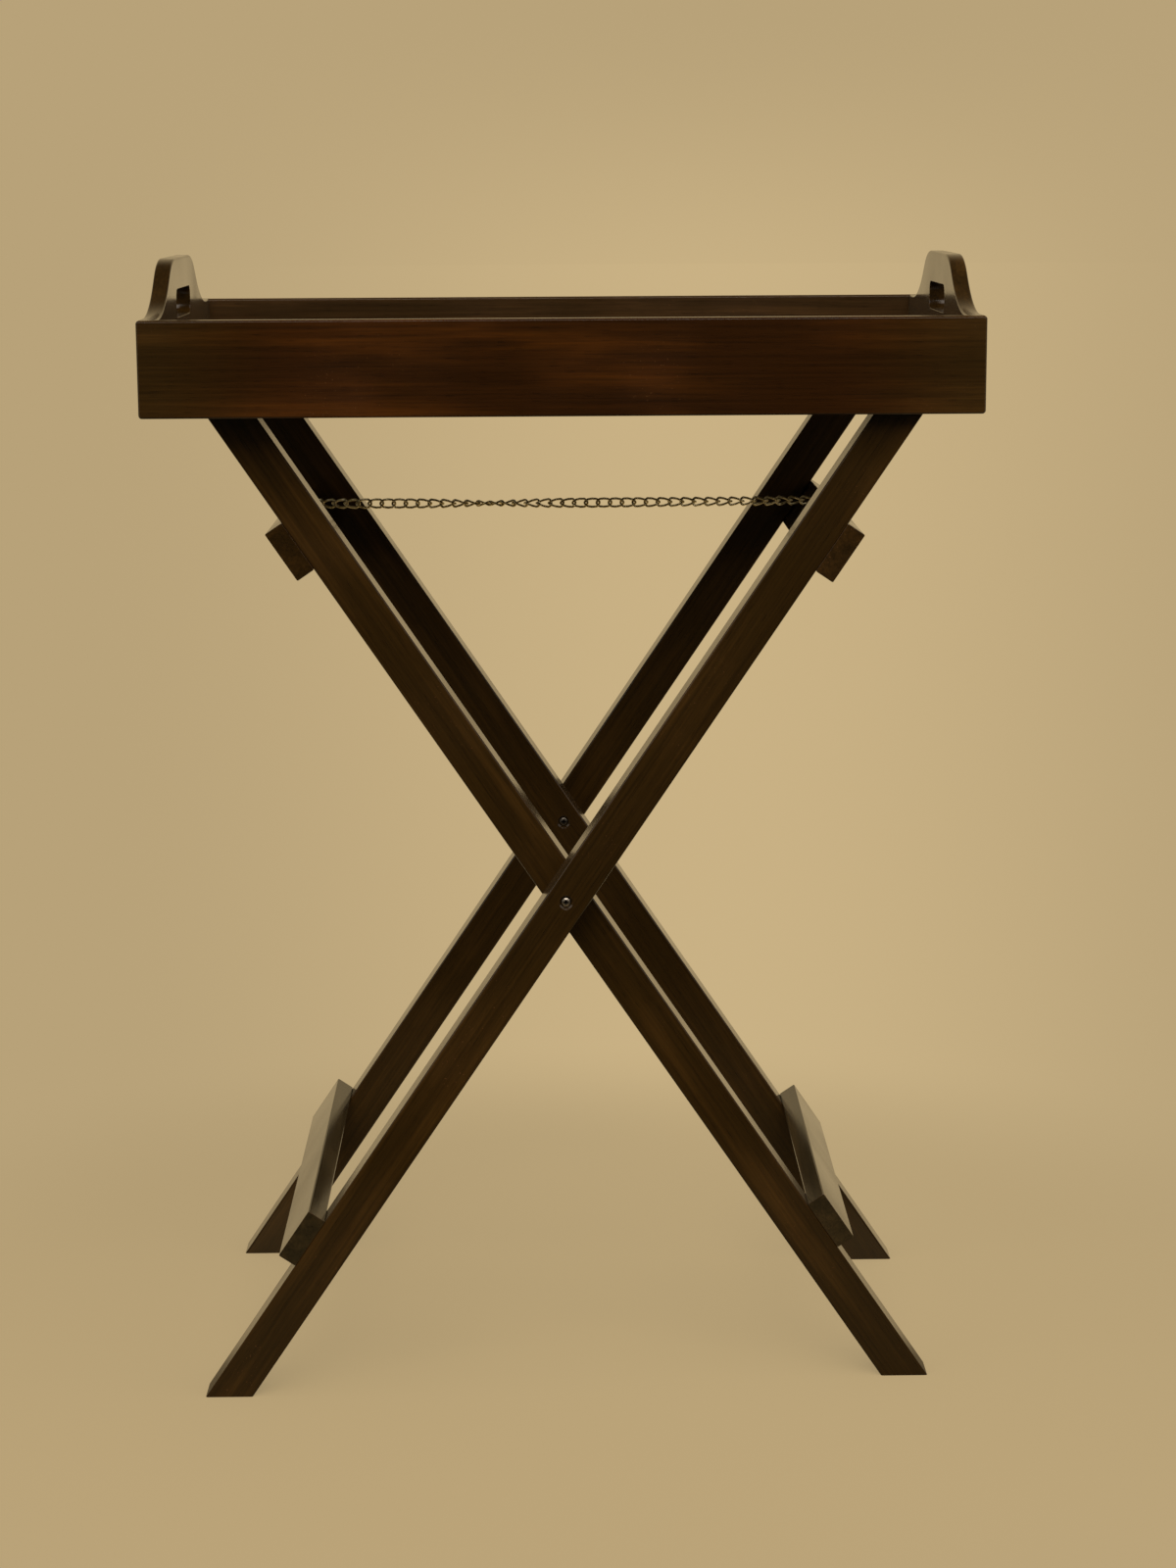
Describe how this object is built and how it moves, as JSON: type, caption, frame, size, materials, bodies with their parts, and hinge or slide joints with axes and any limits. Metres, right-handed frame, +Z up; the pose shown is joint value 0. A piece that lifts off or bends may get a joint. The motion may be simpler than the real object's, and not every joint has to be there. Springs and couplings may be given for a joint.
{
  "type": "butler tray table",
  "caption": "Dark wooden butler tray table: a tray with raised, pierced handles lifts off a folding cross-legged stand that a brass chain holds open.",
  "frame": {"origin": "on the floor, under the pivot axis, midway between the front and rear legs", "axes": "+Z up, +X to the right along the tray's length, -Y towards the front"},
  "size_m": [0.61, 0.41, 0.862],
  "materials": {
    "stained hardwood": "satin lacquer over dark stain",
    "screw steel": "plain, dulled",
    "aged brass": "aged, satin"
  },
  "bodies": {
    "outer_frame": {"outer_leg_front": "stained hardwood", "outer_leg_rear": "stained hardwood", "outer_upper_stretcher": "stained hardwood", "outer_lower_stretcher": "stained hardwood", "outer_stretcher_tenons": "stained hardwood", "pivot_screw_rear": "screw steel", "pivot_washer_front": "screw steel", "pivot_washer_rear": "screw steel", "chain_eye_right": "aged brass"},
    "inner_frame": {"inner_leg_front": "stained hardwood", "inner_leg_rear": "stained hardwood", "inner_upper_stretcher": "stained hardwood", "inner_lower_stretcher": "stained hardwood", "inner_stretcher_tenons": "stained hardwood", "pivot_screw_front": "screw steel", "chain_eye_left": "aged brass"},
    "tray": {"tray_front_rail": "stained hardwood", "tray_rear_rail": "stained hardwood", "tray_left_end": "stained hardwood", "tray_right_end": "stained hardwood", "tray_base_panel": "stained hardwood", "tray_corner_tenons": "stained hardwood"},
    "chain_right": {"chain_right_half": "aged brass"},
    "chain_left": {"chain_left_half": "aged brass"}
  },
  "joints": [
    {"name": "fold", "type": "hinge", "parent": "outer_frame", "child": "inner_frame", "pos_m": [0, 0, 0.388], "axis": [0, 1, 0], "range_deg": [0, 67.3], "deforming": ["chain_left_half", "chain_right_half"]},
    {"name": "tray_lift", "type": "slide", "parent": "outer_frame", "child": "tray", "axis": [0, 0, 1], "range_m": [0, 0.33]},
    {"name": "chain_right_swing", "type": "hinge", "parent": "outer_frame", "child": "chain_right", "pos_m": [0.20095, 0, 0.66983], "axis": [0, -1, 0], "range_deg": [0, 56]},
    {"name": "chain_left_swing", "type": "hinge", "parent": "inner_frame", "child": "chain_left", "pos_m": [-0.20095, 0, 0.66983], "axis": [0, 1, 0], "range_deg": [0, 56]}
  ],
  "couplings": [
    {"joint": "tray_lift", "follows": "fold", "m_per_rad": 0.28},
    {"joint": "chain_right_swing", "follows": "fold", "ratio": 0.8309},
    {"joint": "chain_left_swing", "follows": "fold", "ratio": 0.8309}
  ]
}
